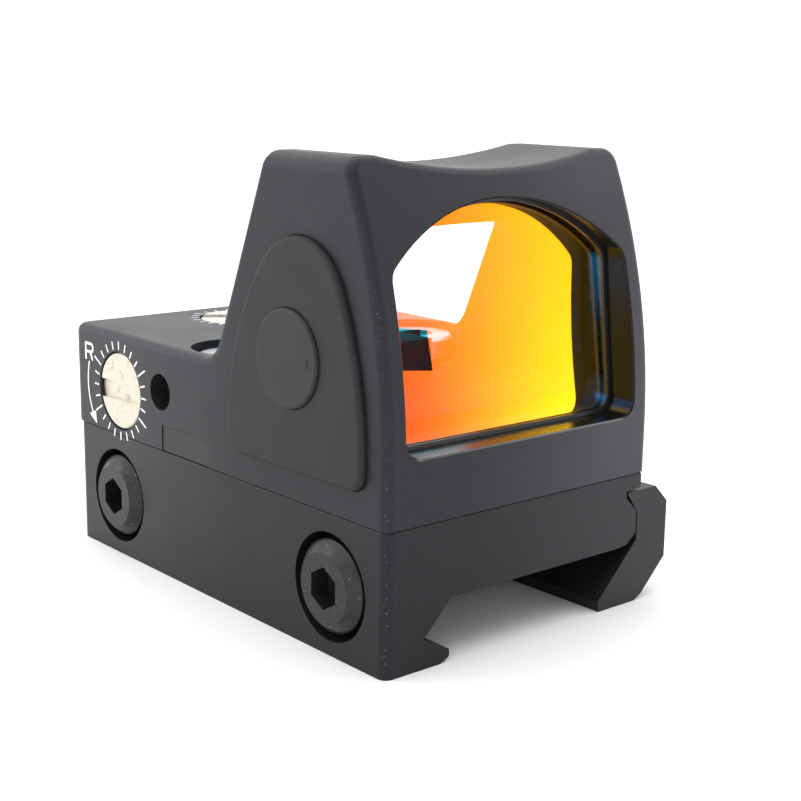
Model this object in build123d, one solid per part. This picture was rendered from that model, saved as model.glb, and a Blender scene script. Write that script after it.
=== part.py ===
from build123d import *
import math
import os

# Compact open reflex ("red dot") sight on a rail clamp mount.
# Frame, in millimetres: +X to the clamp side, -Y along the line of sight towards the target,
# +Z up. The origin lies on the rail seat, under the optical axis and 22.5 behind the front face.

# ---------------------------------------------------------------- driving dimensions
# sight body
body_length = 46.3
body_width = 28.7
seat_z = 6.2                 # joint between the mount and the sight body
deck_z = 15.6
crest_z = 33.0
front_y = -22.5
rear_y = front_y + body_length
side_x = body_width / 2
front_straight_z = 10.45     # the front face leans back above this height
front_radius = 54.0
hood_slope = 0.42            # rearward run of the hood's back edge for each unit of height
hood_foot_y = 0.0            # where the back edge meets the deck
crest_corner_radius = 1.4
rear_corner_radius = 1.5
scoop_radius = 54.0
scoop_floor_z = 31.75
front_edge_radius = 0.8
upper_edge_radius = 0.8      # round the crest, down the hood and along the deck
hood_foot_radius = 3.1
ear_radius = 1.2
seam_break = 0.15

# optical opening
lens_half_width = 12.4
lens_floor_z = 11.3
lens_crown_z = 29.6
lens_crown_radius = 18.2
lens_corner_radius = 1.5
lens_tilt = 6.4              # degrees, top leaning back
lens_centre_z = 21.0
lens_front_y = -18.65
lens_thickness = 4.8
mirror_radius = 400.0
mirror_tilt = 8.1
mirror_depth = 0.5          # glass in front of the mirror at its middle
seat_lip = 1.1               # width of the ledge behind the lens
bond_gap = 0.05
aperture_bevel = 0.12
channel_floor_z = 12.5
channel_half_width = lens_half_width - seat_lip
channel_crown_z = 27.1
channel_crown_radius = 120.0
channel_corner_radius = 1.2
channel_front_y = -16.0
ledge_back_y = -12.6

# light source
turret_half_width = 4.4
turret_top_z = 16.1
turret_front_y = -4.0
well_back_y = 0.6
led_z = 13.4
led_y = 7.9

# adjusters: fine screws that turn in place and carry nuts along
windage_y = 15.2
windage_z = 10.35
windage_head_radius = 3.5
elevation_y = 16.5
elevation_head_radius = 4.0
adjuster_shank_radius = 1.4
seal_radius = 2.2
slot_width = 1.7
slot_depth = 0.3
windage_slot_turn = -2.5      # degrees, rising towards the front
elevation_slot_turn = -38.0
click_radius = 0.5
windage_click_offset = 2.9
elevation_click_offset = 3.3
running_clearance = 0.05
lock_screw_y = 8.25
lock_screw_z = 11.45
lock_screw_radius = 1.62

# power
battery_radius = 10.0
battery_height = 3.2
battery_y = -6.0
battery_floor_z = 7.0

# side buttons
pad_thickness = 1.6
pad_proud = 0.6
pad_recess = pad_thickness - pad_proud
button_y = -11.4
button_z = 17.55
button_radius = 3.9
button_proud = 0.3           # beyond the pad

# fasteners between sight and mount
fixing_x = 9.35
fixing_y = 3.8
fixing_head_radius = 3.5
fixing_shank_radius = 1.4
fixing_head_z = 13.1
pin_x = 10.8
pin_radius = 1.2
pin_foot_z = 4.2

# rail mount
base_left_x = -side_x
base_right_x = 13.35
base_front_y = front_y
base_rear_y = 23.15
foot_z = -5.15
base_corner_radius = 1.2
claw_neck_x = -10.5
claw_tip_x = -7.9
claw_tip_radius = 0.25
seat_left_x = -7.8
seat_right_x = 11.0
bolt_z = 0.4
bolt_y = 15.85
bolt_head_radius = 3.75
bolt_dome_radius = 4.9
bolt_well_radius = 4.35
bolt_shank_radius = 1.95
hex_across_flats = 3.0

# clamp bar
clamp_inner_x = 13.5
clamp_outer_x = 17.3
clamp_top_z = 4.7

os.makedirs("parts", exist_ok=True)


# ---------------------------------------------------------------- helpers
def along_x(face, x_low, x_high):
    """A prism from a face drawn as (y, z), between two planes of constant x."""
    return extrude(Plane.YZ.offset(x_low) * face, x_high - x_low)


def along_y(face, y_low, y_high):
    """A prism from a face drawn as (x, z), between two planes of constant y."""
    return extrude(Plane.XZ.offset(-y_high) * face, y_high - y_low)


def along_z(face, z_low, z_high):
    """A prism from a face drawn as (x, y), between two planes of constant z."""
    return extrude(Plane.XY.offset(z_low) * face, z_high - z_low)


def block(x_range, y_range, z_range):
    """An upright box from its limits along each axis."""
    size = [high - low for low, high in (x_range, y_range, z_range)]
    middle = [(high + low) / 2 for low, high in (x_range, y_range, z_range)]
    return Pos(*middle) * Box(*size)


def rod_x(radius, x_low, x_high, y, z):
    """A cylinder along X."""
    return Pos((x_low + x_high) / 2, y, z) * Rot(0, 90, 0) * Cylinder(radius, x_high - x_low)


def rod_z(radius, z_low, z_high, x, y):
    """A cylinder along Z."""
    return Pos(x, y, (z_low + z_high) / 2) * Cylinder(radius, z_high - z_low)


def ring_x(outer, inner, x_low, x_high, y, z):
    """A ring whose axis runs along X."""
    return rod_x(outer, x_low, x_high, y, z) - rod_x(inner, x_low, x_high, y, z)


def inward(depth):
    """The X of a plane this far in from the windage side of the sight body."""
    return depth - side_x


def mirrored(shape):
    """The same piece on the other side of the sight's middle plane."""
    return mirror(shape, Plane.YZ)


def save(name, *solids):
    """Write one node, made of one or more solids, as a STEP file."""
    if len(solids) == 1:
        shape = solids[0]
    else:
        shape = Compound(children=list(solids))
    export_step(shape, f"parts/{name}.step")


def hex_socket_x(x_mouth, depth, y, z):
    """A hexagonal key socket that opens towards -X, with a corner upwards."""
    outline = Rot(0, 0, 90) * RegularPolygon(hex_across_flats / 2, 6, major_radius=False)
    return along_x(Pos(y, z) * outline, x_mouth - 1, x_mouth + depth)


# ---------------------------------------------------------------- outlines
def side_outline():
    """The sight body seen from its side, as (y, z)."""
    lean = math.asin((crest_z - front_straight_z) / front_radius)
    half = lean / 2
    centre_y = front_y + front_radius

    def on_front(angle):
        return (centre_y - front_radius * math.cos(angle), front_straight_z + front_radius * math.sin(angle))

    crest_back_y = hood_foot_y - (crest_z - deck_z) * hood_slope
    front = ThreePointArc(on_front(0), on_front(half), on_front(lean))
    rest = Polyline(
        on_front(lean),
        (crest_back_y, crest_z),
        (hood_foot_y, deck_z),
        (rear_y, deck_z),
        (rear_y, seat_z),
        (front_y, seat_z),
        on_front(0),
    )
    return make_face(front + rest)


def front_outline():
    """The sight body seen from the front, as (x, z): rounded ears with a shallow trough between."""
    height = crest_z - seat_z
    face = Pos(0, seat_z + height / 2) * Rectangle(body_width, height)
    face -= Pos(0, scoop_floor_z + scoop_radius) * Circle(scoop_radius)
    on_crest = [vertex for vertex in face.vertices() if vertex.Y > crest_z - 0.01]
    face = fillet([vertex for vertex in on_crest if abs(vertex.X) > side_x - 0.01], crest_corner_radius)
    on_ear = [vertex for vertex in face.vertices() if vertex.Y > crest_z - 0.01]
    return fillet([vertex for vertex in on_ear if abs(vertex.X) < side_x - crest_corner_radius - 0.01], ear_radius)


def opening_outline(half_width, floor_z, crown_z, crown_radius, corner_radius):
    """The optical opening, as (x, z): flat floor, upright sides and an arched top."""
    spring_z = crown_z - crown_radius + math.sqrt(crown_radius**2 - half_width**2)
    arch = ThreePointArc((-half_width, spring_z), (0, crown_z), (half_width, spring_z))
    sides = Polyline(
        (half_width, spring_z), (half_width, floor_z), (-half_width, floor_z), (-half_width, spring_z)
    )
    face = make_face(arch + sides)
    return fillet(face.vertices(), corner_radius)


def lens_outline(shrink):
    """The lens seen from the front, smaller all round by the given amount."""
    return opening_outline(
        lens_half_width - shrink,
        lens_floor_z + shrink,
        lens_crown_z - shrink,
        lens_crown_radius - shrink,
        lens_corner_radius - shrink / 2,
    )


def pad_outline(shrink):
    """The side button pad, as (y, z): a tapered shield with a flat foot."""
    foot = Line((-3.0 - shrink, 8.65 + shrink), (-20.2 + shrink, 8.65 + shrink))
    front = ThreePointArc(
        (-20.2 + shrink, 8.65 + shrink), (-19.55 + shrink, 17.6), (-17.5 + shrink, 23.7 - shrink / 2)
    )
    top = ThreePointArc(
        (-17.5 + shrink, 23.7 - shrink / 2), (-12.6, 27.0 - shrink), (-7.7 - shrink, 24.7 - shrink / 2)
    )
    back = ThreePointArc(
        (-7.7 - shrink, 24.7 - shrink / 2), (-4.15 - shrink, 18.2), (-3.0 - shrink, 8.65 + shrink)
    )
    face = make_face(foot + front + top + back)
    face = fillet(face.vertices().sort_by(Axis.Y)[:2], 1.5)
    return fillet(face.vertices().sort_by(Axis.Y)[-2:], 2.0)


# ---------------------------------------------------------------- tilted slabs of glass
def half_space_behind(y_at_centre):
    """Everything behind a plane that leans back with the lens."""
    big = 80.0
    return Pos(0, y_at_centre, lens_centre_z) * Rot(-lens_tilt, 0, 0) * Pos(0, big / 2, 0) * Box(big, big, big)


def mirror_ball():
    """The ball whose near side is the mirror surface inside the lens."""
    tilt = math.radians(mirror_tilt)
    vertex_y = lens_front_y + mirror_depth
    centre_y = vertex_y + mirror_radius * math.cos(tilt)
    centre_z = lens_centre_z - mirror_radius * math.sin(tilt)
    return Pos(0, centre_y, centre_z) * Sphere(mirror_radius)


# ---------------------------------------------------------------- sight body
def hood_and_deck():
    """The outer form of the sight body, before anything is cut into it."""
    return along_x(side_outline(), -side_x, side_x) & along_y(front_outline(), front_y - 1, rear_y + 1)


def round_outer_edges(form):
    """Soften the outside edges of the sight body."""
    rear_corners = form.edges().filter_by(Axis.Z).sort_by(Axis.Y)[-2:]
    form = fillet(rear_corners, rear_corner_radius)
    hood_foot = form.edges().filter_by(Axis.X).sort_by_distance((0, hood_foot_y, deck_z))[0]
    form = fillet(hood_foot, hood_foot_radius)
    crest_back_y = hood_foot_y - (crest_z - deck_z) * hood_slope
    crest_back = form.edges().sort_by_distance((0, crest_back_y, scoop_floor_z))[0]
    form = fillet(crest_back, upper_edge_radius)
    form = fillet(front_outer_edges(form), front_edge_radius)
    return fillet(form.edges().group_by(Axis.Z)[0], seam_break)


def front_outer_edges(form):
    """The chain of edges round the front face, up one side, over the crest and down the other."""
    return [
        edge
        for edge in form.edges()
        if edge.center().Z > seat_z + 0.5
        and abs(edge.center().Y - front_face_y(edge.center().Z)) < 0.2
        and (abs(edge.center().X) > side_x - 1.5 or edge.center().Z > crest_z - 0.1)
    ]


def lens_pocket():
    """The opening that takes the lens, from the front face back to its ledge."""
    prism = along_y(lens_outline(0), front_y - 5, 0)
    return prism - half_space_behind(lens_front_y + lens_thickness)


def view_channel():
    """The open space behind the lens: an arch through its ledge, then a flatter roof back to the deck."""
    wide = opening_outline(
        channel_half_width, channel_floor_z, channel_crown_z, channel_crown_radius, channel_corner_radius
    )
    through_ledge = wide & lens_outline(seat_lip)
    return along_y(through_ledge, channel_front_y, ledge_back_y) + along_y(wide, ledge_back_y, well_back_y)


def battery_bay():
    """The round bay under the well, with a shelf for the circuit board above it."""
    bay = rod_z(battery_radius + 0.3, seat_z - 1, battery_floor_z + battery_height + 0.2, 0, battery_y)
    board_shelf = along_z(board_outline(0.2), battery_floor_z + battery_height, 11.3)
    cover_rebate = along_z(cover_outline(0.05), seat_z - 1, seat_z + 0.7)
    return bay + board_shelf + cover_rebate


def board_outline(grow):
    """The circuit board seen from above, with a tail towards the light source."""
    main = Pos(0, battery_y - 0.2) * Rectangle(20.0 + 2 * grow, 15.0 + 2 * grow)
    tail = Pos(0, 4.3) * Rectangle(9.0 + 2 * grow, 8.6 + 2 * grow)
    return main + tail


def cover_outline(grow):
    """The battery cover seen from above: a disc with an ear at each side."""
    ears = Pos(0, battery_y) * Rectangle(2 * (battery_radius + 2.4) + 2 * grow, 6.0 + 2 * grow)
    return Pos(0, battery_y) * Circle(battery_radius + 1.2 + grow) + ears


def mechanism_bay():
    """The space under the rear deck for the adjuster nuts and the light source."""
    main = block((-9.4, 8.0), (8.6, 20.6), (seat_z - 1, 12.9))
    tunnel = block((-3.2, 3.2), (-1.2, 9.0), (11.2, 14.6))
    return main + tunnel


def deck_holes():
    """Holes through the deck: the elevation screw and the two fixing screws."""
    elevation = rod_z(elevation_head_radius + 0.1, 13.9, deck_z + 1, 0, elevation_y)
    elevation += rod_z(adjuster_shank_radius + running_clearance, 12.0, deck_z + 1, 0, elevation_y)
    elevation += rod_z(seal_radius + 0.05, 13.15, 14.0, 0, elevation_y)
    elevation += rod_z(click_radius + 0.02, 12.0, 14.0, elevation_click_offset, elevation_y)
    fixings = [
        rod_z(fixing_head_radius + 0.4, fixing_head_z, deck_z + 0.5, x, fixing_y)
        + rod_z(fixing_shank_radius + 0.5, seat_z - 1, fixing_head_z + 1, x, fixing_y)
        for x in (-fixing_x, fixing_x)
    ]
    return elevation + fixings


def side_holes():
    """Holes in the windage side: the dial and the small lock screw."""
    dial = rod_x(windage_head_radius + 0.1, inward(-1), inward(2.0), windage_y, windage_z)
    shank = rod_x(adjuster_shank_radius + running_clearance, inward(1.5), -9.0, windage_y, windage_z)
    shank += rod_x(seal_radius + 0.05, inward(1.5), inward(2.85), windage_y, windage_z)
    shank += rod_x(click_radius + 0.02, inward(1.5), inward(4.4), windage_y, windage_z + windage_click_offset)
    lock = rod_x(lock_screw_radius, inward(-1), inward(5.0), lock_screw_y, lock_screw_z)
    return dial + shank + lock


def pad_recesses():
    """The recess for a button pad on each side, with room for its switch."""
    left = along_x(pad_outline(0), -side_x - 1, -side_x + pad_recess)
    left += rod_x(button_radius - 0.6, -side_x, -side_x + pad_recess + 0.35, button_y, button_z)
    return left + mirrored(left)


def label_recess():
    """The shallow rectangular field low on the windage side."""
    return block((-side_x - 1, -side_x + 0.25), (0.45, 8.1), (seat_z - 1, 8.55))


def pin_holes():
    """Blind holes underneath for the locating pins."""
    return [rod_z(pin_radius + 0.02, seat_z - 1, seat_z + 2.0, x, y) for x, y in pin_places()]


def pin_places():
    """Where the locating pins stand."""
    return [(x, y) for x in (-pin_x, pin_x) for y in (-19.0, 19.5)]


def housing():
    """The sight body: hood, deck and the bays inside it."""
    form = round_outer_edges(hood_and_deck())
    form -= lens_pocket()
    form = chamfer(front_rim(form), aperture_bevel)
    turret = emitter_turret()
    form -= view_channel() - turret
    form += turret
    form -= battery_bay()
    form -= mechanism_bay()
    form -= deck_holes()
    form -= side_holes()
    form -= pad_recesses()
    form -= label_recess()
    form -= pin_holes()
    form -= window_recess()
    return form


def front_rim(form):
    """The edges where the optical opening meets the front face."""
    rim = []
    for edge in form.edges():
        box = edge.bounding_box()
        inside = box.min.X > -lens_half_width - 0.01 and box.max.X < lens_half_width + 0.01
        raised = box.min.Z > lens_floor_z - 0.01 and box.max.Z < lens_crown_z + 0.01
        forward = box.max.Y < -18.9 and box.min.Y > front_y - 0.1
        on_face = abs(front_face_y(edge.center().Z) - edge.center().Y) < 0.15
        if inside and raised and forward and on_face:
            rim.append(edge)
    return rim


def front_face_y(z):
    """Where the front face lies at a given height."""
    if z < front_straight_z:
        return front_y
    rise = z - front_straight_z
    return front_y + front_radius - math.sqrt(front_radius**2 - rise**2)


def emitter_turret():
    """The part of the deck that stands forward and shields the light source."""
    return block((-turret_half_width, turret_half_width), (turret_front_y, well_back_y + 1), (10.0, turret_top_z))


def window_recess():
    """The rebate in the turret's front for the window, and the light's way out."""
    rebate = block((-3.85, 3.85), (turret_front_y - 1, turret_front_y + 0.8), (13.05, 15.5))
    return rebate + block((-3.2, 3.2), (turret_front_y, 0.0), (13.2, 14.6))


# ---------------------------------------------------------------- optics
def lens_blank():
    """The whole lens before the mirror surface divides it."""
    prism = along_y(lens_outline(bond_gap), front_y - 5, 0)
    return (prism & half_space_behind(lens_front_y)) - half_space_behind(lens_front_y + lens_thickness - bond_gap)


def front_lens():
    return lens_blank() - mirror_ball()


def mirror_lens():
    return lens_blank() & mirror_ball()


def lens_bond():
    """The dark bead of adhesive round the front edge of the lens."""
    ring = lens_outline(0.02) - lens_outline(0.35)
    prism = along_y(ring, front_y - 5, 0)
    return (prism & half_space_behind(lens_front_y - 0.3)) - half_space_behind(lens_front_y - 0.01)


def blank_label():
    """The plain dark plate low on the windage side."""
    return block((-side_x + 0.08, -side_x + 0.24), (0.5, 8.05), (seat_z + 0.1, 8.5))


def emitter_window():
    return block((-3.8, 3.8), (turret_front_y + 0.1, turret_front_y + 0.75), (13.1, 15.45))


# ---------------------------------------------------------------- adjusters
def slotted_head_x(x_face, x_back):
    """A flat slotted head facing -X."""
    head = rod_x(windage_head_radius, x_face, x_back, windage_y, windage_z)
    head = chamfer(head.edges().sort_by(Axis.X)[0], 0.12)
    slot = along_x(Rectangle(20, slot_width), x_face - 1, x_face + slot_depth)
    return head - Pos(0, windage_y, windage_z) * Rot(windage_slot_turn, 0, 0) * slot


def windage_screw():
    head = slotted_head_x(inward(0.05), inward(1.9))
    shank = rod_x(adjuster_shank_radius, inward(1.5), -3.0, windage_y, windage_z)
    return head + shank


def elevation_screw():
    head = rod_z(elevation_head_radius, 14.0, deck_z + 0.1, 0, elevation_y)
    head = chamfer(head.edges().sort_by(Axis.Z)[-1], 0.12)
    slot = along_z(Rectangle(20, slot_width), deck_z + 0.1 - slot_depth, deck_z + 1)
    slot = Pos(0, elevation_y) * Rot(0, 0, elevation_slot_turn) * slot
    shank = rod_z(adjuster_shank_radius, 6.9, 14.5, 0, elevation_y)
    return (head - slot) + shank


def adjuster_seals():
    """The two rubber rings round the adjuster shanks."""
    windage = ring_x(seal_radius, adjuster_shank_radius + 0.01, inward(1.95), inward(2.8), windage_y, windage_z)
    elevation = rod_z(seal_radius, 13.2, 13.95, 0, elevation_y)
    elevation -= rod_z(adjuster_shank_radius + 0.01, 13, 15, 0, elevation_y)
    return [windage, elevation]


def click_plungers():
    """The sprung plungers whose noses give the adjusters their clicks."""
    windage_axis = windage_z + windage_click_offset
    windage = rod_x(click_radius, inward(2.2), inward(4.3), windage_y, windage_axis)
    windage += Pos(inward(2.4), windage_y, windage_axis) * Sphere(0.45)
    elevation = rod_z(click_radius, 12.1, 13.7, elevation_click_offset, elevation_y)
    elevation += Pos(elevation_click_offset, elevation_y, 13.5) * Sphere(0.45)
    return [windage, elevation]


def windage_nut():
    """The nut that the windage screw carries sideways, with a tongue for the light carriage."""
    body = block((-8.4, -4.6), (windage_y - 2.6, windage_y + 2.6), (windage_z - 2.6, windage_z + 2.4))
    body -= rod_x(adjuster_shank_radius + running_clearance, -9, -4, windage_y, windage_z)
    tongue = block((-7.1, -5.9), (11.1, windage_y - 2.5), (windage_z - 0.6, windage_z + 0.6))
    return body + tongue


def elevation_nut():
    """The nut that the elevation screw carries up and down, with a cross rail on its front."""
    body = block((-2.6, 2.6), (elevation_y - 2.9, elevation_y + 2.9), (8.6, 12.1))
    body -= rod_z(adjuster_shank_radius + running_clearance, 8, 13, 0, elevation_y)
    rail = block((-2.9, 4.4), (12.3, elevation_y - 2.8), (9.6, 11.4))
    rail -= block((-3.5, -1.9), (12.0, 13.7), (9, 12))
    return body + rail


def light_carriage():
    """The carriage that holds the light: it slides along the cross rail of the elevation nut."""
    back = block((-1.1, 5.8), (9.7, 13.3), (8.5, 12.1))
    back -= block((-2, 7), (12.25, 14), (9.55, 11.45))
    ear = block((-7.9, -0.9), (9.7, 11.9), (windage_z - 1.8, windage_z + 1.8))
    ear -= block((-7.15, -5.85), (10.9, 13), (windage_z - 1.35, windage_z + 1.35))
    arm = block((-1.0, 1.0), (led_y + 0.2, 9.9), (11.75, 12.1))
    arm += block((-1.5, 1.5), (led_y - 0.2, led_y + 0.8), (11.75, 13.9))
    return back + ear + arm


def led():
    body = block((-0.8, 0.8), (led_y - 0.75, led_y - 0.2), (led_z - 0.8 + 0.3, led_z + 0.3))
    return body + Pos(0, led_y - 0.75, led_z - 0.2) * Sphere(0.35)


def lock_screw():
    """The grub screw deep in the small side hole."""
    screw = rod_x(lock_screw_radius - 0.05, inward(1.6), inward(4.4), lock_screw_y, lock_screw_z)
    outline = RegularPolygon(0.75, 6, major_radius=False)
    return screw - along_x(Pos(lock_screw_y, lock_screw_z) * outline, inward(1.0), inward(2.8))


# ---------------------------------------------------------------- buttons
def button_pad():
    """The rubber pad on the windage side, with a round hole for its button."""
    pad = along_x(pad_outline(0.04), -side_x - pad_proud, -side_x + pad_recess - 0.02)
    outer = pad.faces().sort_by(Axis.X)[0].edges()
    pad = fillet(outer, 0.45)
    return pad - rod_x(button_radius + running_clearance, inward(-6), inward(4), button_y, button_z)


def button_cap():
    """The round button: a disc that stands slightly proud of its pad."""
    x_face = -side_x - pad_proud - button_proud
    cap = rod_x(button_radius, x_face, inward(0.55), button_y, button_z)
    return fillet(cap.edges().sort_by(Axis.X)[0], 0.25)


def dome_switch():
    """The switch under a button, sunk in the wall."""
    x_floor = -side_x + pad_recess + 0.35
    base = rod_x(button_radius - 0.7, x_floor - 0.2, x_floor - 0.02, button_y, button_z)
    return base + rod_x(1.5, x_floor - 0.34, x_floor - 0.18, button_y, button_z)


# ---------------------------------------------------------------- power and electronics
def coin_battery():
    cell = rod_z(battery_radius, battery_floor_z, battery_floor_z + battery_height - 0.15, 0, battery_y)
    return fillet(cell.edges().filter_by(GeomType.CIRCLE), 0.3)


def circuit_board():
    return along_z(board_outline(0), 10.45, 11.0)


def board_parts():
    """The controller and the larger components on top of the board."""
    chip = block((-2.5, 2.5), (-11.0, -7.0), (11.0, 11.28))
    coil = block((4.5, 7.5), (-10.0, -7.5), (11.0, 11.28))
    return [chip, coil]


def battery_contact(x):
    """A leaf that touches the cell from the board."""
    return block((x - 1.0, x + 1.0), (battery_y - 5.0, battery_y + 5.0), (10.08, 10.4))


def battery_cover():
    return along_z(cover_outline(0), seat_z + 0.02, seat_z + 0.62)


def cover_seal():
    """The gasket between the battery cover and the cell bay."""
    ring = Circle(battery_radius + 1.15) - Circle(battery_radius + 0.3)
    return along_z(Pos(0, battery_y) * ring, seat_z + 0.62, seat_z + 0.7)


# ---------------------------------------------------------------- mount
def base_outline():
    """The mount's body seen from the front, as (x, z): a claw at the left, a groove at the right."""
    lines = Polyline(
        (base_left_x, foot_z),
        (claw_tip_x - 0.9, foot_z),
        (claw_tip_x, foot_z + 0.4),
        (claw_tip_x, foot_z + 1.05),
        (claw_neck_x, -2.75),
        (claw_neck_x, -2.7),
        (seat_left_x, 0),
        (seat_right_x, 0),
        (12.25, 0.12),
        (base_right_x, 1.0),
        (base_right_x, 2.9),
        (12.0, 4.25),
        (12.0, 4.85),
        (13.75, 4.95),
        (13.75, seat_z),
        (base_left_x, seat_z),
        (base_left_x, foot_z),
    )
    face = make_face(lines)
    tip = face.vertices().sort_by_distance((claw_tip_x, foot_z + 0.7, 0))[:2]
    return fillet(tip, claw_tip_radius)


def mount_base():
    body = along_y(base_outline(), base_front_y, base_rear_y)
    rear_left = body.edges().filter_by(Axis.Z).sort_by_distance((base_left_x, base_rear_y, 0))[0]
    body = fillet(rear_left, base_corner_radius)
    front_left = body.edges().filter_by(Axis.Z).sort_by_distance((base_left_x, base_front_y, 0))[0]
    body = fillet(front_left, front_edge_radius)
    rim = body.edges().group_by(Axis.Z)[-1]
    body = fillet([edge for edge in rim if abs(edge.center().Y) > 1 or edge.center().X < -13], seam_break)
    for y in (-bolt_y, bolt_y):
        body -= rod_x(bolt_well_radius, base_left_x - 1, inward(2.8), y, bolt_z)
        body -= rod_x(bolt_shank_radius + 0.1, inward(2), 15, y, bolt_z)
    body -= [rod_z(1.45, -0.5, seat_z + 1, x, fixing_y) for x in (-fixing_x, fixing_x)]
    body -= [rod_z(pin_radius + 0.02, pin_foot_z - 0.1, seat_z + 1, x, y) for x, y in pin_places()]
    return body


def locating_pins():
    return [rod_z(pin_radius, pin_foot_z, seat_z + 1.8, x, y) for x, y in pin_places()]


def fixing_screws():
    """The two screws that hold the sight down on its mount."""
    screws = []
    for x in (-fixing_x, fixing_x):
        head = rod_z(fixing_head_radius, fixing_head_z + 0.02, deck_z - 0.6, x, fixing_y)
        head = chamfer(head.edges().sort_by(Axis.Z)[-1], 0.3)
        head -= along_z(Pos(x, fixing_y) * RegularPolygon(1.5, 6, major_radius=False), 13.7, 16)
        shank = rod_z(fixing_shank_radius, 0.3, fixing_head_z + 0.1, x, fixing_y)
        screws.append(head + shank)
    return screws


def cross_bolt(y):
    """A domed socket screw through the mount into the clamp bar."""
    dome = Pos(inward(3.4), y, bolt_z) * Sphere(bolt_dome_radius)
    head = rod_x(bolt_head_radius, inward(-0.6), inward(2.0), y, bolt_z) & dome
    head += rod_x(bolt_head_radius, inward(1.0), inward(2.75), y, bolt_z)
    head -= hex_socket_x(inward(-0.7), 1.7, y, bolt_z)
    shank = rod_x(bolt_shank_radius, inward(2.4), clamp_outer_x - 0.3, y, bolt_z)
    return head + shank


def clamp_outline():
    """The clamp bar seen from the front, as (x, z)."""
    lines = Polyline(
        (12.4, 4.25),
        (12.15, 4.5),
        (12.25, clamp_top_z),
        (15.75, clamp_top_z),
        (clamp_outer_x, clamp_top_z - 1.55),
        (clamp_outer_x, -1.85),
        (14.5, -4.65),
        (13.55, foot_z),
        (9.05, foot_z),
        (8.95, -4.2),
        (clamp_inner_x, 0.35),
        (clamp_inner_x, 2.75),
        (12.4, 4.25),
    )
    return make_face(lines)


def clamp_bar():
    bar = along_y(clamp_outline(), base_front_y, base_rear_y)
    for y in (-bolt_y, bolt_y):
        bar -= rod_x(bolt_shank_radius + running_clearance, 9, 19, y, bolt_z)
    return bar


save("housing", housing())
save("front_lens", front_lens())
save("mirror_lens", mirror_lens())
save("lens_bond", lens_bond())
save("blank_label", blank_label())
save("emitter_window", emitter_window())
save("windage_screw", windage_screw())
save("elevation_screw", elevation_screw())
save("adjuster_seals", *adjuster_seals())
save("click_plungers", *click_plungers())
save("windage_nut", windage_nut())
save("elevation_nut", elevation_nut())
save("light_carriage", light_carriage())
save("led", led())
save("lock_screw", lock_screw())
save("left_button_pad", button_pad())
save("right_button_pad", mirrored(button_pad()))
save("left_button", button_cap())
save("right_button", mirrored(button_cap()))
save("left_dome_switch", dome_switch())
save("right_dome_switch", mirrored(dome_switch()))
save("coin_battery", coin_battery())
save("circuit_board", circuit_board())
save("board_components", *board_parts())
save("battery_contacts", battery_contact(-5.0), battery_contact(5.0))
save("battery_cover", battery_cover())
save("cover_seal", cover_seal())
save("mount_base", mount_base())
save("locating_pins", *locating_pins())
save("fixing_screws", *fixing_screws())
save("front_cross_bolt", cross_bolt(-bolt_y))
save("rear_cross_bolt", cross_bolt(bolt_y))
save("clamp_bar", clamp_bar())
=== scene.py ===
import math

import bmesh
import bpy
from mathutils import Matrix, Vector


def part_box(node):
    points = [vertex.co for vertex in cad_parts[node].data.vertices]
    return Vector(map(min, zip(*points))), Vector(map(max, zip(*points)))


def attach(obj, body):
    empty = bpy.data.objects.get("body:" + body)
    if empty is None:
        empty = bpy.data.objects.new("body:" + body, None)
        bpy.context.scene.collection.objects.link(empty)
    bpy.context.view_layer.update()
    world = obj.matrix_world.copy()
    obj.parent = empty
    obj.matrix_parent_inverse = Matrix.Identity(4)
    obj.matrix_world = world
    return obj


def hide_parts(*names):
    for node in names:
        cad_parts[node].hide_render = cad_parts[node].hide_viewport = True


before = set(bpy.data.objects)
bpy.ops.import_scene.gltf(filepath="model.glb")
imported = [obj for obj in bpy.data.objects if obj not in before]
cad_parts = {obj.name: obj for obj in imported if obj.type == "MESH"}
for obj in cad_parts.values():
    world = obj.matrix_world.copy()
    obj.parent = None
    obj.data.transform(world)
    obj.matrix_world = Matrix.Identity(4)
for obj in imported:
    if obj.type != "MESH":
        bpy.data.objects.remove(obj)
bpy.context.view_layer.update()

# Looks of a compact open reflex sight on its rail clamp. Lengths are in metres: mm stands for one
# millimetre. The sight looks along -Y, its adjuster dial is on the -X side, and +Z is up.
mm = 0.001

# places worked out from the frame
side_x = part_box("housing")[0].x
deck_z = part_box("elevation_screw")[1].z - 0.1 * mm
floor_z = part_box("mount_base")[0].z

# the mirror surface inside the lens
mirror_radius = 400.0 * mm
mirror_tilt = math.radians(8.1)
mirror_middle = Vector((0.0, -18.15 * mm, 21.0 * mm))
lens_tilt = math.radians(6.4)
mirror_gap = 0.02 * mm

# the opening in the housing: a recess before the glass and a channel behind it
opening_half_width = 12.75 * mm
opening_low_z = 11.0 * mm
opening_high_z = 29.9 * mm
opening_back_y = -0.2 * mm
glass_edge_y = -17.1 * mm

# the marks
mark_depth = 0.03 * mm
mark_sunk = 0.01 * mm        # how far a mark reaches into the surface it stands on
crossing_step = 0.003 * mm   # strokes that cross differ in height, so their tops share no plane
tick_width = 0.15 * mm
clicks_per_turn = 24

# the light and the camera
tent_brightness = 1.42
dark_brightness = 0.15
camera_place = Vector((-79.101, -99.315, 38.464)) * mm
camera_azimuth = math.radians(40.644)
camera_drop = math.radians(12.5)
camera_roll = math.radians(0.823)
camera_lens = 65.465


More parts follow.
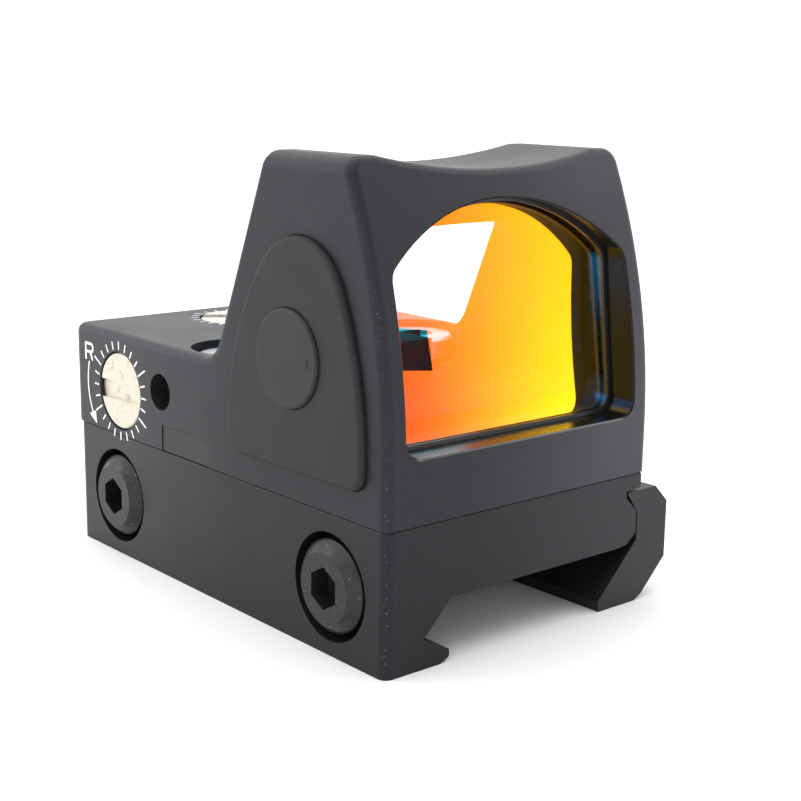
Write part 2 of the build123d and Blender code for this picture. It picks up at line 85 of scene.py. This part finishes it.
# ---------------------------------------------------------------- node helpers
class Nodes:
    """A material's node tree, with short ways to add and join its nodes."""

    def __init__(self, name):
        self.material = bpy.data.materials.new(name)
        self.material.use_nodes = True
        self.tree = self.material.node_tree
        self.shader = self.tree.nodes["Principled BSDF"]
        self.output = self.tree.nodes["Material Output"]
        self.place = self.add("ShaderNodeTexCoord").outputs["Object"]

    def add(self, kind, **settings):
        node = self.tree.nodes.new(kind)
        for key, value in settings.items():
            setattr(node, key, value)
        return node

    def join(self, source, target):
        if isinstance(source, (int, float, tuple)):
            target.default_value = source
        else:
            self.tree.links.new(source, target)

    def math(self, operation, first, second=0.0):
        node = self.add("ShaderNodeMath", operation=operation)
        self.join(first, node.inputs[0])
        self.join(second, node.inputs[1])
        return node.outputs[0]

    def noise(self, size, detail=3.0, roughness=0.55, place=None):
        """Noise whose features are about size metres across."""
        node = self.add("ShaderNodeTexNoise")
        self.join(place or self.place, node.inputs["Vector"])
        node.inputs["Scale"].default_value = 1.0 / size
        node.inputs["Detail"].default_value = detail
        node.inputs["Roughness"].default_value = roughness
        return node.outputs["Fac"]

    def step(self, value, low, high, out_low=0.0, out_high=1.0):
        """A smooth step: out_low below low, out_high above high."""
        node = self.add("ShaderNodeMapRange", interpolation_type="SMOOTHSTEP")
        self.join(value, node.inputs["Value"])
        node.inputs["From Min"].default_value = low
        node.inputs["From Max"].default_value = high
        node.inputs["To Min"].default_value = out_low
        node.inputs["To Max"].default_value = out_high
        return node.outputs["Result"]

    def blend(self, amount, first, second):
        """A colour between first and second."""
        node = self.add("ShaderNodeMix", data_type="RGBA")
        self.join(amount, node.inputs["Factor"])
        self.join(first, node.inputs[6])
        self.join(second, node.inputs[7])
        return node.outputs[2]

    def between(self, value, low, high, soft):
        """1 where value lies between low and high, with soft ends."""
        rise = self.step(value, low - soft, low + soft)
        fall = self.step(value, high - soft, high + soft, 1.0, 0.0)
        return self.math("MULTIPLY", rise, fall)

    def product(self, *factors):
        result = factors[0]
        for factor in factors[1:]:
            result = self.math("MULTIPLY", result, factor)
        return result

    def mix_values(self, amount, first, second):
        """A number between first and second."""
        node = self.add("ShaderNodeMix", data_type="FLOAT")
        self.join(amount, node.inputs["Factor"])
        self.join(first, node.inputs[2])
        self.join(second, node.inputs[3])
        return node.outputs[0]

    def axes(self, vector):
        node = self.add("ShaderNodeSeparateXYZ")
        self.join(vector, node.inputs[0])
        return node.outputs

    def stretched(self, scale):
        """The place with its axes scaled, for grain that runs one way."""
        node = self.add("ShaderNodeMapping")
        self.join(self.place, node.inputs["Vector"])
        node.inputs["Scale"].default_value = scale
        return node.outputs["Vector"]

    def bump(self, height, distance, strength):
        """Roughness that follows height, at most distance metres deep."""
        node = self.add("ShaderNodeBump")
        node.inputs["Distance"].default_value = distance
        node.inputs["Strength"].default_value = strength
        self.join(height, node.inputs["Height"])
        self.join(node.outputs["Normal"], self.shader.inputs["Normal"])

    def paint(self, amount, first, second):
        """The surface colour, between first and second."""
        self.join(self.blend(amount, first, second), self.shader.inputs["Base Color"])

    def vary(self, socket, value, out_low, out_high):
        """One of the shader's numbers, which follows a noise from out_low to out_high."""
        self.join(self.step(value, 0.3, 0.7, out_low, out_high), self.shader.inputs[socket])

    def set(self, **values):
        """Plain values on the shader's own sockets."""
        for key, value in values.items():
            self.shader.inputs[key.replace("_", " ")].default_value = value


def grey(value, warmth=0.0):
    """A near-neutral colour; warmth above zero leans to red, below zero to blue."""
    return (value * (1 + warmth), value, value * (1 - warmth), 1.0)


# ---------------------------------------------------------------- materials
cool_tint = (0.90, 0.91, 1.0, 1.0)  # what black finishes do to the light they reflect


def rounded_edges(nodes):
    """1 on rounded corners and edges, 0 on faces square to an axis."""
    normal = nodes.add("ShaderNodeNewGeometry").outputs["Normal"]
    x, y, z = nodes.axes(normal)
    largest = nodes.math("MAXIMUM", nodes.math("ABSOLUTE", x), nodes.math("ABSOLUTE", y))
    largest = nodes.math("MAXIMUM", largest, nodes.math("ABSOLUTE", z))
    return nodes.step(largest, 0.80, 0.93, 1.0, 0.0)


def anodised(name, shade, roughness, painted_highlight_gloss):
    """Fine blasted, black anodised aluminium, rubbed at its edges.

    painted_highlight_gloss is the gloss that its front faces reach low on the right. This gloss, and
    the gloss that rises towards the rear on upright faces, is a painted highlight standing in for light
    that falls there.
    """
    nodes = Nodes(name)
    x, y, z = nodes.axes(nodes.place)
    cloud = nodes.noise(9 * mm, detail=2.0)
    grain = nodes.noise(0.16 * mm, detail=2.0, roughness=0.7)
    body = nodes.blend(cloud, grey(shade * 0.9, -0.14), grey(shade * 1.1, -0.10))
    body = nodes.blend(nodes.step(grain, 0.35, 0.75), body, grey(shade * 1.4, -0.08))
    near_corner = nodes.product(
        nodes.step(x, -13.6 * mm, -13.2 * mm, 1.0, 0.12),
        nodes.step(y, -21.0 * mm, -19.0 * mm, 1.0, 0.12),
    )
    flecks = nodes.step(nodes.noise(0.22 * mm, detail=2.0), 0.66, 0.72)
    rubbed = nodes.product(rounded_edges(nodes), flecks, near_corner, 0.3)
    nodes.paint(rubbed, body, grey(0.3))
    nodes.vary("Roughness", cloud, roughness - 0.03, roughness + 0.03)
    facing = nodes.axes(nodes.add("ShaderNodeNewGeometry").outputs["Normal"])
    # painted highlight: front faces grow glossier to the right and low down
    painted_highlight_front = nodes.product(
        nodes.step(x, -8 * mm, 15 * mm),
        nodes.step(z, 14 * mm, 30 * mm, 1.0, 0.35),
        nodes.step(facing[1], -0.8, -0.4, 1.0, 0.0),
    )
    # painted highlight: upright faces grow glossier towards the rear
    painted_highlight_rear = nodes.step(y, -6 * mm, 16 * mm, 0.0, 0.16)
    front_gloss = nodes.mix_values(painted_highlight_front, 0.25, painted_highlight_gloss)
    upright_gloss = nodes.math("ADD", front_gloss, painted_highlight_rear)
    # faces that look up keep a plain gloss of 0.42; upright faces take the painted highlight
    gloss = nodes.mix_values(nodes.step(facing[2], 0.35, 0.85), upright_gloss, 0.42)
    nodes.join(gloss, nodes.shader.inputs["Specular IOR Level"])
    nodes.set(Metallic=0.0, Specular_Tint=cool_tint)
    nodes.bump(grain, 0.010 * mm, 0.7)
    return nodes


def housing_surface():
    """The sight body's anodising, with a smooth recess and a dull channel in its opening; the channel
    is painted dark as painted shade, and the recess walls are made less glossy than its floor as
    painted shade.
    """
    nodes = anodised("body_anodised", 0.013, 0.45, 0.64)
    x, y, z = nodes.axes(nodes.place)
    facing = nodes.axes(nodes.add("ShaderNodeNewGeometry").outputs["Normal"])
    soft = 0.05 * mm
    opening = nodes.product(
        nodes.between(x, -opening_half_width, opening_half_width, soft),
        nodes.between(z, opening_low_z, opening_high_z, soft),
        nodes.step(y, opening_back_y - 0.4 * mm, opening_back_y + 0.4 * mm, 1.0, 0.0),
    )
    behind_glass = nodes.step(y, glass_edge_y - 0.1 * mm, glass_edge_y + 0.1 * mm)
    before_glass = nodes.step(y, glass_edge_y - 0.1 * mm, glass_edge_y + 0.1 * mm, 1.0, 0.0)
    recess = nodes.product(opening, nodes.step(facing[1], -0.90, -0.86), before_glass)
    # painted shade: behind the glass the channel is made dark and dull
    channel = nodes.product(opening, behind_glass, nodes.step(facing[1], 0.5, 0.7, 1.0, 0.0))
    # painted shade: the recess walls get less gloss than its floor
    painted_shade_recess_gloss = nodes.step(facing[2], 0.5, 0.8, 0.22, 0.75)
    for socket, mix, smooth, dull in (
        ("Base Color", nodes.blend, grey(0.006), grey(0.006)),
        ("Roughness", nodes.mix_values, 0.22, 0.8),
        ("Specular IOR Level", nodes.mix_values, painted_shade_recess_gloss, 0.1),
    ):
        target = nodes.shader.inputs[socket]
        outside = target.links[0].from_socket
        nodes.join(mix(channel, mix(recess, outside, smooth), dull), target)
    return nodes.material


def rubber(name, shade, roughness):
    """Moulded rubber with a faint satin skin."""
    nodes = Nodes(name)
    cloud = nodes.noise(5 * mm)
    grain = nodes.noise(0.1 * mm, detail=2.0)
    nodes.paint(cloud, grey(shade * 0.85, -0.05), grey(shade * 1.2, -0.03))
    nodes.vary("Roughness", cloud, roughness - 0.04, roughness + 0.04)
    nodes.set(Specular_IOR_Level=0.27, Specular_Tint=cool_tint)
    nodes.bump(grain, 0.006 * mm, 0.7)
    return nodes.material


def plated(name, colour, dark, roughness, brushing=(1, 1, 1)):
    """Plated metal with hairline scratches and a little grime.

    A brushing below 1 draws the scratches out along that axis.
    """
    nodes = Nodes(name)
    lines = nodes.noise(0.12 * mm, detail=4.0, place=nodes.stretched(brushing))
    stains = nodes.noise(1.3 * mm, detail=4.0)
    grime = nodes.step(stains, 0.56, 0.74)
    marks = nodes.math("MULTIPLY", nodes.step(lines, 0.60, 0.70), 0.5)
    worn = nodes.math("MAXIMUM", nodes.math("MULTIPLY", grime, 0.55), marks)
    nodes.paint(worn, colour, dark)
    nodes.vary("Roughness", stains, roughness, roughness + 0.15)
    nodes.set(Metallic=1.0)
    nodes.bump(lines, 0.01 * mm, 0.6)
    return nodes.material


def black_oxide(name):
    """Oil-blacked steel: dark, smooth, with small bright specks where it is nicked."""
    nodes = Nodes(name)
    cloud = nodes.noise(1.4 * mm)
    specks = nodes.product(nodes.step(nodes.noise(0.3 * mm, detail=2.0), 0.68, 0.74), 0.5)
    body = nodes.blend(cloud, grey(0.016, -0.08), grey(0.036, -0.06))
    nodes.paint(specks, body, grey(0.25))
    nodes.vary("Roughness", cloud, 0.26, 0.40)
    nodes.set(Metallic=0.6)
    nodes.bump(nodes.noise(0.2 * mm), 0.012 * mm, 0.6)
    return nodes.material


def painted_mark(name):
    """White filler in an engraved mark."""
    nodes = Nodes(name)
    chips = nodes.step(nodes.noise(0.12 * mm), 0.62, 0.74)
    nodes.paint(chips, grey(0.86), grey(0.45))
    nodes.set(Roughness=0.6)
    return nodes.material


def plain(name, low, high, roughness):
    """A surface that varies softly between two colours."""
    nodes = Nodes(name)
    size = 1.5 * mm
    nodes.paint(nodes.noise(size), low, high)
    nodes.set(Roughness=roughness)
    nodes.bump(nodes.noise(size / 8), 0.008 * mm, 0.5)
    return nodes.material


def clear_glass():
    """Polished lens glass."""
    nodes = Nodes("lens_glass")
    inside = nodes.add("ShaderNodeBsdfRefraction")
    inside.inputs["IOR"].default_value = 1.5
    inside.inputs["Roughness"].default_value = 0.0
    sheen = nodes.add("ShaderNodeBsdfAnisotropic")
    sheen.inputs["Roughness"].default_value = 0.02
    sheen.inputs["Color"].default_value = (0.004, 0.004, 0.005, 1.0)
    both = nodes.add("ShaderNodeAddShader")
    nodes.join(inside.outputs[0], both.inputs[0])
    nodes.join(sheen.outputs[0], both.inputs[1])
    nodes.join(both.outputs[0], nodes.output.inputs["Surface"])
    return nodes.material


def mirror_coating():
    """The coat inside the lens: amber in what it reflects, blue-green in what it lets through."""
    nodes = Nodes("mirror_coating")
    place = nodes.axes(nodes.place)
    across = nodes.step(place[0], -11 * mm, 11 * mm)
    up = nodes.step(place[2], 12 * mm, 28 * mm)
    lower = nodes.blend(across, (1.0, 0.085, 0.004, 1), (1.0, 0.65, 0.003, 1))
    upper = nodes.blend(across, (1.0, 0.165, 0.004, 1), (1.0, 0.50, 0.003, 1))
    reflected = nodes.blend(up, lower, upper)
    invert = nodes.add("ShaderNodeInvert")
    nodes.join(reflected, invert.inputs["Color"])
    mirror = nodes.add("ShaderNodeBsdfAnisotropic")
    mirror.inputs["Roughness"].default_value = 0.0
    nodes.join(reflected, mirror.inputs["Color"])
    through = nodes.add("ShaderNodeBsdfTransparent")
    nodes.join(invert.outputs[0], through.inputs["Color"])
    both = nodes.add("ShaderNodeAddShader")
    nodes.join(mirror.outputs[0], both.inputs[0])
    nodes.join(through.outputs[0], both.inputs[1])
    nodes.join(both.outputs[0], nodes.output.inputs["Surface"])
    return nodes.material


def cemented_face():
    """The rear glass where it is cemented to the coat: nothing shows there."""
    nodes = Nodes("cemented_face")
    through = nodes.add("ShaderNodeBsdfTransparent")
    nodes.join(through.outputs[0], nodes.output.inputs["Surface"])
    return nodes.material


def lens_edge():
    """The blacked edge of the glass, paler and greyer below a height of 13 to 14.5 mm."""
    nodes = Nodes("lens_edge")
    cloud = nodes.noise(1.2 * mm, place=nodes.stretched((1, 0.3, 1)))
    height = nodes.axes(nodes.place)[2]
    # pale below 13 mm, dark above 14.5 mm
    blacked = nodes.step(height, 13.0 * mm, 14.5 * mm)
    pale_low_edge = nodes.blend(cloud, grey(0.16, 0.05), grey(0.34, 0.05))
    paint = nodes.blend(cloud, grey(0.012, -0.1), grey(0.03, -0.1))
    nodes.paint(blacked, pale_low_edge, paint)
    nodes.set(Roughness=0.25, Specular_IOR_Level=0.6)
    return nodes.material


def make_materials():
    """One material for each kind of surface."""
    return {
        "body": housing_surface(),
        "mount": anodised("mount_anodised", 0.009, 0.45, 0.40).material,
        "rubber": rubber("pad_rubber", 0.016, 0.55),
        "button": rubber("button_rubber", 0.019, 0.50),
        "seal": rubber("seal_rubber", 0.015, 0.6),
        "dial": plated("dial_nickel", (0.63, 0.58, 0.49, 1), (0.24, 0.19, 0.14, 1), 0.34, (1, 0.08, 1)),
        "top_dial": plated("top_dial_nickel", (0.64, 0.60, 0.54, 1), (0.28, 0.23, 0.18, 1), 0.3),
        "steel": plated("bright_steel", (0.55, 0.55, 0.57, 1), (0.25, 0.25, 0.26, 1), 0.3),
        "bolt": black_oxide("blacked_steel"),
        "mark": painted_mark("mark_white"),
        "label": plain("label_black", grey(0.006), grey(0.012), 0.55),
        "board": plain("board_green", (0.01, 0.09, 0.04, 1), (0.015, 0.12, 0.05, 1), 0.35),
        "chip": plain("component_black", grey(0.012), grey(0.03), 0.5),
        "contact": plated("contact_bronze", (0.78, 0.52, 0.28, 1), (0.4, 0.25, 0.12, 1), 0.28),
        "nylon": plain("cover_nylon", grey(0.012), grey(0.022), 0.5),
        "brass": plated("nut_brass", (0.80, 0.60, 0.30, 1), (0.35, 0.24, 0.1, 1), 0.3),
        "light": plain("diode_red", (0.6, 0.02, 0.01, 1), (0.8, 0.05, 0.02, 1), 0.15),
        "window": plain("window_dark_red", (0.04, 0.006, 0.008, 1), (0.05, 0.008, 0.01, 1), 0.08),
        "bond": plain("bond_black", grey(0.01), grey(0.02), 0.3),
        "glass": clear_glass(),
        "coating": mirror_coating(),
        "cement": cemented_face(),
        "glass_edge": lens_edge(),
    }


node_materials = {
    "housing": "body",
    "mount_base": "mount",
    "clamp_bar": "mount",
    "lens_bond": "bond",
    "blank_label": "label",
    "emitter_window": "window",
    "windage_screw": "dial",
    "elevation_screw": "top_dial",
    "adjuster_seals": "seal",
    "click_plungers": "steel",
    "windage_nut": "brass",
    "elevation_nut": "brass",
    "light_carriage": "steel",
    "led": "light",
    "lock_screw": "bolt",
    "left_button_pad": "rubber",
    "right_button_pad": "rubber",
    "left_button": "button",
    "right_button": "button",
    "left_dome_switch": "steel",
    "right_dome_switch": "steel",
    "coin_battery": "steel",
    "circuit_board": "board",
    "board_components": "chip",
    "battery_contacts": "contact",
    "battery_cover": "nylon",
    "cover_seal": "seal",
    "locating_pins": "steel",
    "fixing_screws": "steel",
    "front_cross_bolt": "bolt",
    "rear_cross_bolt": "bolt",
}


def paint_nodes(materials):
    """Give every CAD node that is shown its finished material."""
    for node, key in node_materials.items():
        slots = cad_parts[node].data.materials
        for index in range(len(slots)):
            slots[index] = materials[key]


# ---------------------------------------------------------------- lens
def mirror_centre():
    """The middle of the ball that the mirror surface is part of."""
    towards = Vector((0.0, math.cos(mirror_tilt), -math.sin(mirror_tilt)))
    return mirror_middle + mirror_radius * towards


def lens_piece(name, node, ball_material, shift, materials):
    """One glass of the lens, copied from its CAD node, with a slot for each side and its edge.

    shift moves the mirror side back, clear of the other glass's mirror side.
    """
    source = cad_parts[node]
    mesh = source.data.copy()
    mesh.name = name
    mesh.materials.clear()
    polished_slot, mirror_slot, edge_slot = range(3)
    for key in ("glass", ball_material, "glass_edge"):
        mesh.materials.append(materials[key])
    centre = mirror_centre()
    axis = Vector((0.0, math.cos(lens_tilt), -math.sin(lens_tilt)))
    on_ball = {
        v.index for v in mesh.vertices if abs((v.co - centre).length - mirror_radius) < 0.01 * mm
    }
    normals = [Vector(c.vector) for c in mesh.corner_normals]
    for face in mesh.polygons:
        if all(v in on_ball for v in face.vertices) and abs(face.normal.dot(axis)) > 0.9:
            face.material_index = mirror_slot
        elif abs(face.normal.dot(axis)) > 0.999:
            face.material_index = polished_slot
        else:
            face.material_index = edge_slot
        for loop in face.loop_indices:
            if face.material_index == mirror_slot:
                outward = (mesh.vertices[mesh.loops[loop].vertex_index].co - centre).normalized()
                normals[loop] = outward if outward.dot(face.normal) > 0 else -outward
            elif face.material_index == polished_slot:
                normals[loop] = face.normal.copy()
    for index in on_ball:
        mesh.vertices[index].co.y += shift
    mesh.polygons.foreach_set("use_smooth", [True] * len(mesh.polygons))
    mesh.normals_split_custom_set(normals)
    piece = bpy.data.objects.new(name, mesh)
    bpy.context.scene.collection.objects.link(piece)
    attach(piece, "frame")
    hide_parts(node)
    return piece


# ---------------------------------------------------------------- marks
def flat_piece(name, outlines, place, material, body):
    """Thin raised shapes, each a closed outline of flat points that place puts on the sight."""
    form = bmesh.new()
    for index, outline in enumerate(outlines):
        top = mark_depth + index % 5 * crossing_step
        lower = [form.verts.new(place(a, b, 0.0)) for a, b in outline]
        upper = [form.verts.new(place(a, b, top)) for a, b in outline]
        form.faces.new(lower[::-1])
        form.faces.new(upper)
        count = len(outline)
        for i in range(count):
            k = (i + 1) % count
            form.faces.new((lower[i], lower[k], upper[k], upper[i]))
    bmesh.ops.recalc_face_normals(form, faces=form.faces)
    mesh = bpy.data.meshes.new(name)
    form.to_mesh(mesh)
    form.free()
    mesh.materials.append(material)
    piece = bpy.data.objects.new(name, mesh)
    bpy.context.scene.collection.objects.link(piece)
    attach(piece, body)
    return piece


def on_windage_side(a, b, height):
    """a runs towards the rear and b up, on the dial side of the housing."""
    return (side_x - height + mark_sunk, a, b)


def on_button(a, b, height):
    """a runs towards the rear and b up, on the dial side's button."""
    return (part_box("left_button")[0].x - height + mark_sunk, a, b)


def on_deck(a, b, height):
    """a runs across and b towards the rear, on the deck."""
    return (a, b, deck_z + height - mark_sunk)


def polar(centre, radius, degrees):
    """A flat point at a distance and an angle from centre."""
    angle = math.radians(degrees)
    return (centre[0] + radius * math.cos(angle), centre[1] + radius * math.sin(angle))


def stroke(start, end, width):
    """A straight stroke with round ends."""
    run = math.degrees(math.atan2(end[1] - start[1], end[0] - start[0]))
    return [
        polar(middle, width / 2, turn + 30 * k)
        for middle, turn in ((end, run - 90), (start, run + 90))
        for k in range(7)
    ]


def arc_band(centre, radius, start, end, width, steps=18):
    """A curved stroke round a centre, between two angles in degrees."""
    angles = [start + (end - start) * k / steps for k in range(steps + 1)]
    outer = [polar(centre, radius + width / 2, angle) for angle in angles]
    inner = [polar(centre, radius - width / 2, angle) for angle in angles]
    return outer + inner[::-1]


def dial_ticks(centre, inner, short, long, long_ticks):
    """A tick for each of the dial's clicks; the long ones stand at the degrees in long_ticks."""
    strokes = []
    for degrees in range(0, 360, 360 // clicks_per_turn):
        outer = long if degrees in long_ticks else short
        ends = polar(centre, inner, degrees), polar(centre, outer, degrees)
        strokes.append(stroke(*ends, tick_width))
    return strokes


def letter_r(corner, width, height, line):
    """A capital R from strokes that reads from outside; corner is its lower front corner."""
    a, b = corner
    left, right = a + width, a + line / 2
    top, bottom = b + height, b
    middle = b + height * 0.47
    bowl_radius = (top - middle) / 2
    bowl_centre = (a + bowl_radius, (top + middle) / 2)
    return [
        stroke((left, bottom), (left, top), line),
        stroke((left, top), (bowl_centre[0], top), line),
        stroke((left, middle), (bowl_centre[0], middle), line),
        arc_band(bowl_centre, bowl_radius, 90, 270, line),
        stroke((bowl_centre[0] + 0.1 * mm, middle), (right, bottom), line),
    ]


def box_centre(node):
    """The middle of a CAD node's box."""
    low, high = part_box(node)
    return (low + high) / 2


def add_marks(materials):
    """The white dial marks on the side and on the deck."""
    mark = materials["mark"]
    dial = box_centre("windage_screw")
    centre = (dial.y, dial.z)
    ticks = dial_ticks(centre, 3.85 * mm, 4.5 * mm, 5.1 * mm, (30, 150, 210, 330))
    flat_piece("windage_ticks", ticks, on_windage_side, mark, "frame")
    shaft = arc_band(centre, 5.8 * mm, 19.5, -30.0, 0.17 * mm)
    head = [
        polar(centre, 6.45 * mm, -28.5),
        polar(centre, 5.85 * mm, -41.0),
        polar(centre, 5.25 * mm, -30.0),
    ]
    flat_piece("windage_arrow", [shaft, head], on_windage_side, mark, "frame")
    letter = letter_r((19.95 * mm, 12.5 * mm), 1.35 * mm, 1.45 * mm, 0.24 * mm)
    flat_piece("windage_letter", letter, on_windage_side, mark, "frame")
    button = box_centre("left_button")
    low = (button.y - 2.75 * mm, button.z - 0.35 * mm)
    high = (button.y - 2.85 * mm, button.z + 0.35 * mm)
    dash = stroke(low, high, 0.16 * mm)
    flat_piece("button_dash", [dash], on_button, materials["seal"], "left_button")
    top = box_centre("elevation_screw")
    ticks = dial_ticks((0.0, top.y), 4.3 * mm, 4.85 * mm, 5.1 * mm, (60, 120, 240, 300))
    flat_piece("elevation_ticks", ticks, on_deck, mark, "frame")


# ---------------------------------------------------------------- room
def point_at(item, target):
    """Turn a light so that it shines on target."""
    direction = Vector(target) - item.location
    item.rotation_mode = "QUATERNION"
    item.rotation_quaternion = direction.to_track_quat("-Z", "Y")


def soft_sun(name, towards, spread, power):
    """A wide, far light from the given direction; spread is its angle across in degrees."""
    data = bpy.data.lights.new(name, "SUN")
    data.angle = math.radians(spread)
    data.energy = power
    lamp = bpy.data.objects.new(name, data)
    lamp.location = towards
    point_at(lamp, (0, 0, 0))
    bpy.context.scene.collection.objects.link(lamp)


def soft_panel(name, place, target, size, power):
    """A round diffuser that faces the sight."""
    data = bpy.data.lights.new(name, "AREA")
    data.shape = "DISK"
    data.size = size
    data.energy = power
    lamp = bpy.data.objects.new(name, data)
    lamp.location = place
    point_at(lamp, target)
    bpy.context.scene.collection.objects.link(lamp)


def make_card():
    """A small black card to the front right, hidden from the camera, that shows only in the lens."""
    mesh = bpy.data.meshes.new("black_card")
    corners = (
        (114.3, -199.1, 39.4),
        (126.5, -192.9, 36.8),
        (127.3, -193.6, 22.7),
        (112.9, -201.0, 25.2),
    )
    mesh.from_pydata([Vector(corner) * mm for corner in corners], [], [(0, 1, 2, 3)])
    nodes = Nodes("card_black")
    nodes.paint(nodes.noise(6 * mm), grey(0.004), grey(0.008))
    nodes.set(Roughness=0.9, Specular_IOR_Level=0.05)
    mesh.materials.append(nodes.material)
    card = bpy.data.objects.new("black_card", mesh)
    card.visible_camera = False
    bpy.context.scene.collection.objects.link(card)


def make_floor():
    """A pale floor under the clamp."""
    reach = 4.0
    top = floor_z - 0.02 * mm
    mesh = bpy.data.meshes.new("floor")
    corners = [(x * reach, y * reach, top) for x, y in ((-1, -1), (1, -1), (1, 1), (-1, 1))]
    mesh.from_pydata(corners, [], [(0, 1, 2, 3)])
    nodes = Nodes("floor_paper")
    nodes.paint(nodes.noise(60 * mm), grey(0.93), grey(0.95))
    nodes.set(Roughness=0.9, Specular_IOR_Level=0.1)
    mesh.materials.append(nodes.material)
    floor = bpy.data.objects.new("floor", mesh)
    bpy.context.scene.collection.objects.link(floor)


def make_light():
    """A white tent that is dark high up in front, a wide light overhead and two soft panels."""
    scene = bpy.context.scene
    world = bpy.data.worlds.new("tent")
    world.use_nodes = True
    background = world.node_tree.nodes["Background"]
    background.inputs["Color"].default_value = (1.0, 1.0, 1.0, 1.0)
    scene.world = world
    tree = world.node_tree
    direction = tree.nodes.new("ShaderNodeTexCoord").outputs["Generated"]
    axes = tree.nodes.new("ShaderNodeSeparateXYZ")
    tree.links.new(direction, axes.inputs[0])
    shades = []
    for output, low, high in ((1, -0.2, -0.8), (2, 0.33, 0.60)):
        ramp = tree.nodes.new("ShaderNodeMapRange")
        ramp.interpolation_type = "SMOOTHSTEP"
        ramp.inputs["From Min"].default_value = low
        ramp.inputs["From Max"].default_value = high
        tree.links.new(axes.outputs[output], ramp.inputs["Value"])
        shades.append(ramp.outputs["Result"])
    front = tree.nodes.new("ShaderNodeMath")
    front.operation = "MULTIPLY"
    tree.links.new(shades[0], front.inputs[0])
    tree.links.new(shades[1], front.inputs[1])
    level = tree.nodes.new("ShaderNodeMapRange")
    level.inputs["To Min"].default_value = tent_brightness
    level.inputs["To Max"].default_value = dark_brightness
    tree.links.new(front.outputs[0], level.inputs["Value"])
    tree.links.new(level.outputs["Result"], background.inputs["Strength"])
    soft_sun("overhead", (-0.1, 0.2, 1.0), 90.0, 0.9)
    soft_panel("rear_left", (-0.36, 0.34, 0.20), (-0.01, 0.02, 0.01), 0.30, 0.6)
    soft_panel("front_right", (0.40, -0.17, 0.27), (0.01, -0.02, 0.015), 0.26, 0.3)
    scene.view_settings.view_transform = "Standard"


def make_camera():
    """The camera stands to the front left, a little above the sight."""
    level = Vector((math.sin(camera_azimuth), math.cos(camera_azimuth), 0.0))
    forward = level * math.cos(camera_drop) - Vector((0.0, 0.0, math.sin(camera_drop)))
    right = forward.cross(Vector((0, 0, 1))).normalized()
    up = right.cross(forward)
    rolled = right * math.cos(camera_roll) + up * math.sin(camera_roll)
    turn = Matrix((rolled, rolled.cross(forward), -forward)).transposed()
    data = bpy.data.cameras.new("camera")
    data.lens = camera_lens
    data.sensor_width = 36.0
    data.clip_start = 1 * mm
    data.clip_end = 20.0
    camera = bpy.data.objects.new("camera", data)
    camera.matrix_world = Matrix.Translation(camera_place) @ turn.to_4x4()
    bpy.context.scene.collection.objects.link(camera)
    bpy.context.scene.camera = camera


# ---------------------------------------------------------------- build
materials = make_materials()
paint_nodes(materials)
lens_piece("lens_front_glass", "front_lens", "coating", 0.0, materials)
lens_piece("lens_rear_glass", "mirror_lens", "cement", mirror_gap, materials)
add_marks(materials)
make_floor()
make_card()
make_light()
make_camera()
